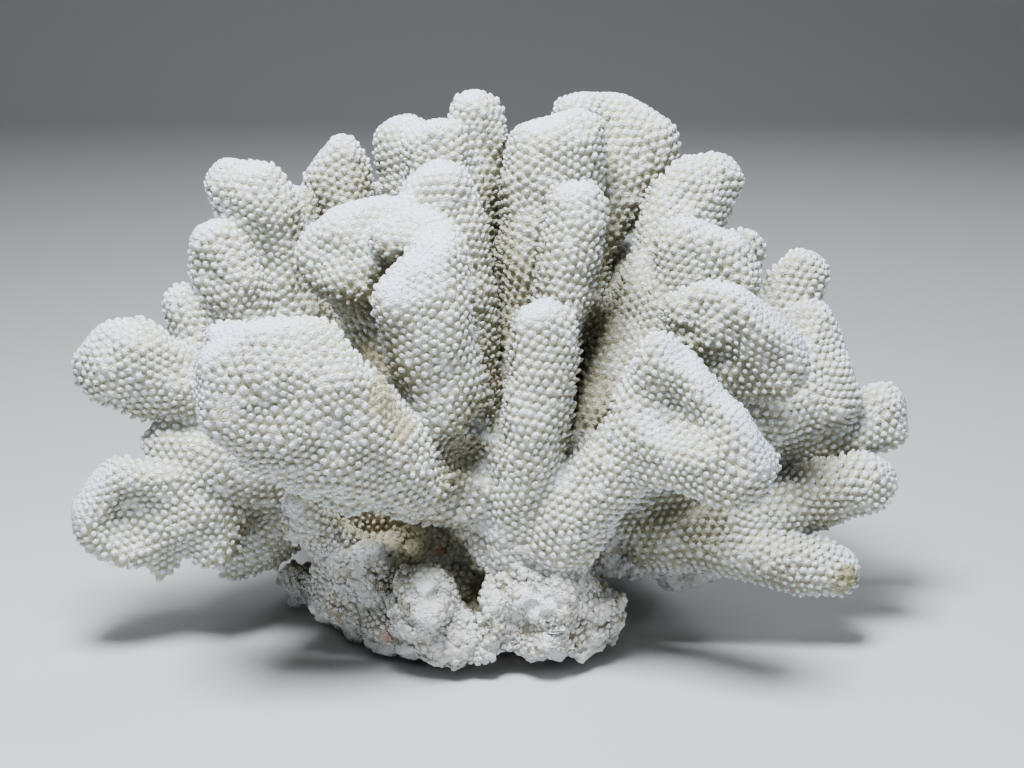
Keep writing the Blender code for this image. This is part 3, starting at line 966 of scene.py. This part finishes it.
def skeletonMaterial(name):
    material = bpy.data.materials.new(name)
    nodes = NodeTree(material)
    place = nodes.add("TexCoord").outputs["Object"]
    rise, tip, hidden, dead = (nodes.field(name) for name in ("rise", "tip", "hidden", "dead"))

    # Painted shade: where the coral covers the sky, on undersides and at the listed inner spots, valleys turn
    # to the hollow colour and crests to the shaded crest colour, made patchy by noise
    shadeBlotch = nodes.math("MULTIPLY", nodes.noise(place, 45, 3), 0.3)
    deep = nodes.ramp(nodes.math("ADD", hidden, shadeBlotch), 0.35, 0.95)
    valley = nodes.mix(deep, colours["valley"], colours["hollow"])
    # Smooth tips take the tip colour; crest and tip both carry the painted cool tint of the top light
    crest = nodes.mix(tip, colours["crest"], colours["tip"])
    shade = nodes.ramp(nodes.math("ADD", hidden, shadeBlotch), 0.4, 1.05)
    crest = nodes.mix(shade, crest, colours["shadedCrest"])
    # Peg tops and smooth tips take the crest colour and the floor between pegs the valley colour: partly the
    # valleys' own cream, partly painted shade between the pegs
    height = nodes.math("MAXIMUM", nodes.ramp(rise, 0.0, 0.8), nodes.math("MULTIPLY", tip, 0.85))
    coral = nodes.mix(height, valley, crest)
    grime = nodes.math("MULTIPLY", nodes.ramp(nodes.noise(place, 300, 5), 0.45, 0.7), 0.5)
    patchy = nodes.ramp(nodes.noise(place, 120, 3), 0.3, 0.65)
    pitted = nodes.math("MULTIPLY", nodes.ramp(rise, 0.55, 0.1), patchy)
    rockColour = nodes.mix(nodes.math("MAXIMUM", grime, pitted), colours["rock"], colours["pit"])
    # Painted shade on the rock where the coral covers the sky, on undersides and at the inner spots
    rockColour = nodes.mix(nodes.ramp(hidden, 0.4, 0.9), rockColour, colours["hollow"])
    colour = nodes.mix(dead, coral, rockColour)
    ragged = nodes.math("MULTIPLY", nodes.noise(place, 1100, 4), 1.1)
    for mark in ("scar", "stain", "pink"):
        edged = nodes.math("MULTIPLY", nodes.field(mark), nodes.math("ADD", ragged, 0.35))
        colour = nodes.mix(nodes.ramp(edged, 0.2, 0.75), colour, colours[mark])
    dots = nodes.ramp(nodes.cells(place, 230), 0.05, 0.035)
    speck = nodes.math("MULTIPLY", dots, nodes.ramp(nodes.noise(place, 60), 0.52, 0.56))
    colour = nodes.mix(speck, colour, colours["speck"])
    nodes.put(nodes.shader.inputs["Base Color"], colour)
    uneven = nodes.math("MULTIPLY", nodes.noise(place, 500, 2), 0.25)
    nodes.put(nodes.shader.inputs["Roughness"], nodes.math("ADD", uneven, 0.72))
    nodes.shader.inputs["Specular IOR Level"].default_value = 0.25

    pores = nodes.ramp(nodes.cells(place, 1250), 0.10, 0.6)
    grains = nodes.noise(place, 1900, 2)
    relief = nodes.math("ADD", nodes.math("MULTIPLY", pores, 0.8), nodes.math("MULTIPLY", grains, 0.7))
    bump = nodes.add("Bump")
    bump.inputs["Strength"].default_value = 0.8
    bump.inputs["Distance"].default_value = 0.45 * mm
    nodes.link(relief, bump.inputs["Height"])
    nodes.link(bump.outputs["Normal"], nodes.shader.inputs["Normal"])
    return material


studio = {
    "floorColour": (0.50, 0.50, 0.50),
    "front": -2.5,
    "back": 1.3,
    "bend": 0.5,
    "wall": 3.0,
    "halfWidth": 3.5,
    "lights": [
        # name, place, size, power, colour
        ("top", (-0.06, -0.22, 0.66), 0.22, 14.5, (0.90, 0.95, 1.0)),
        ("side", (0.9, -0.6, 0.45), 0.6, 0.8, (0.96, 0.98, 1.0)),
        ("back", (0.2, 0.7, 0.9), 0.6, 5, (0.92, 0.96, 1.0)),
    ],
    "world": (0.84, 0.90, 1.0),
    "worldStrength": 0.07,
}


def makeStudio():
    # A floor that sweeps up into a wall behind
    bm = bmesh.new()
    half = studio["halfWidth"]
    bmesh.ops.create_grid(bm, x_segments=1, y_segments=1, size=half)
    for vert in bm.verts:
        vert.co.y = studio["back"] if vert.co.y > 0 else studio["front"]
    edge = next(e for e in bm.edges if all(v.co.y > 0 for v in e.verts))
    hinge = Vector((0, studio["back"], studio["bend"]))
    bent = bmesh.ops.spin(
        bm, geom=[edge, *edge.verts], cent=hinge, axis=(1, 0, 0), angle=math.pi / 2, steps=16,
    )
    last = [item for item in bent["geom_last"] if isinstance(item, bmesh.types.BMEdge)]
    drawn = bmesh.ops.extrude_edge_only(bm, edges=last)["geom"]
    top = [item for item in drawn if isinstance(item, bmesh.types.BMVert)]
    bmesh.ops.translate(bm, verts=top, vec=(0, 0, studio["wall"]))
    mesh = bpy.data.meshes.new("floor")
    bm.to_mesh(mesh)
    bm.free()
    mesh.shade_smooth()
    floor = newObject("floor", mesh)
    material = bpy.data.materials.new("pale floor")
    material.use_nodes = True
    shader = material.node_tree.nodes["Principled BSDF"]
    shader.inputs["Base Color"].default_value = (*studio["floorColour"], 1)
    shader.inputs["Roughness"].default_value = 0.8
    mesh.materials.append(material)
    for name, place, size, power, colour in studio["lights"]:
        data = bpy.data.lights.new(name, "AREA")
        data.size = size
        data.energy = power
        data.color = colour
        light = newObject(name, data)
        light.location = place
        light.rotation_euler = (Vector((0, 0, 0.08)) - Vector(place)).to_track_quat("-Z", "Y").to_euler()
    world = bpy.data.worlds.new("studio")
    world.use_nodes = True
    background = world.node_tree.nodes["Background"]
    background.inputs["Color"].default_value = (*studio["world"], 1)
    background.inputs["Strength"].default_value = studio["worldStrength"]
    bpy.context.scene.world = world


makeCamera()
makeStudio()
materials = {
    "coral_skeleton": skeletonMaterial("coral skeleton"),
    "crusted_foot": skeletonMaterial("crusted foot"),
}
growCoral()
